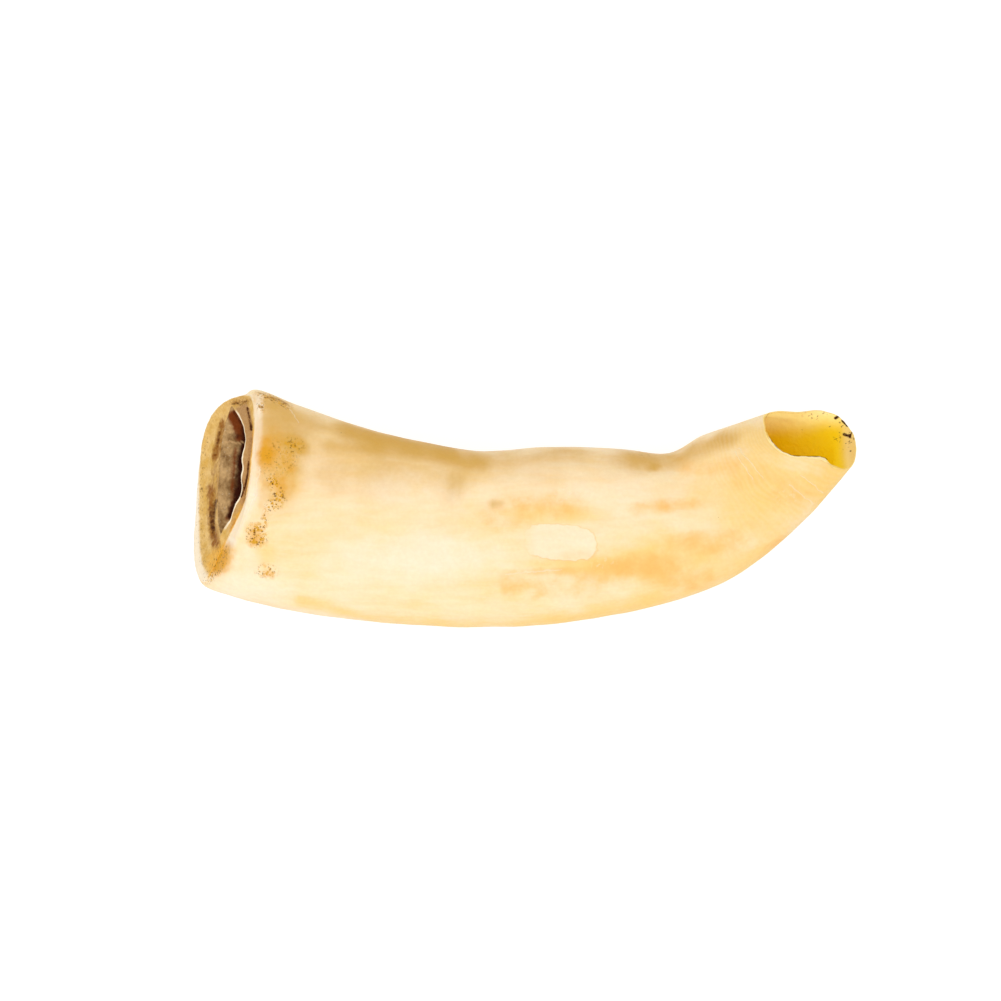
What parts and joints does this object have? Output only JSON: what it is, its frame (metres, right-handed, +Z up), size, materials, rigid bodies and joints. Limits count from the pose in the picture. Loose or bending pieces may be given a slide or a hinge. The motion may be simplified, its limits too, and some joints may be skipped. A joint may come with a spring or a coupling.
{
  "type": "horse tooth",
  "caption": "Whole curved horse incisor with a worn grinding table, a deep cup in the crown and an open hollow root.",
  "frame": {"origin": "middle of the tooth's bounding box, at the height of the surface it lies on", "axes": "+X from the crown to the root, +Y towards the hollow edge of the curve, +Z up, out of the upper side of the tooth as it lies"},
  "size_m": [0.056, 0.0202, 0.0114],
  "materials": {
    "tooth": "natural enamel and cementum, ivory to amber, smooth with a soft gloss, brown in the cup and deep yellow in the root"
  },
  "bodies": {
    "root": {"tooth": "tooth"}
  },
  "joints": []
}
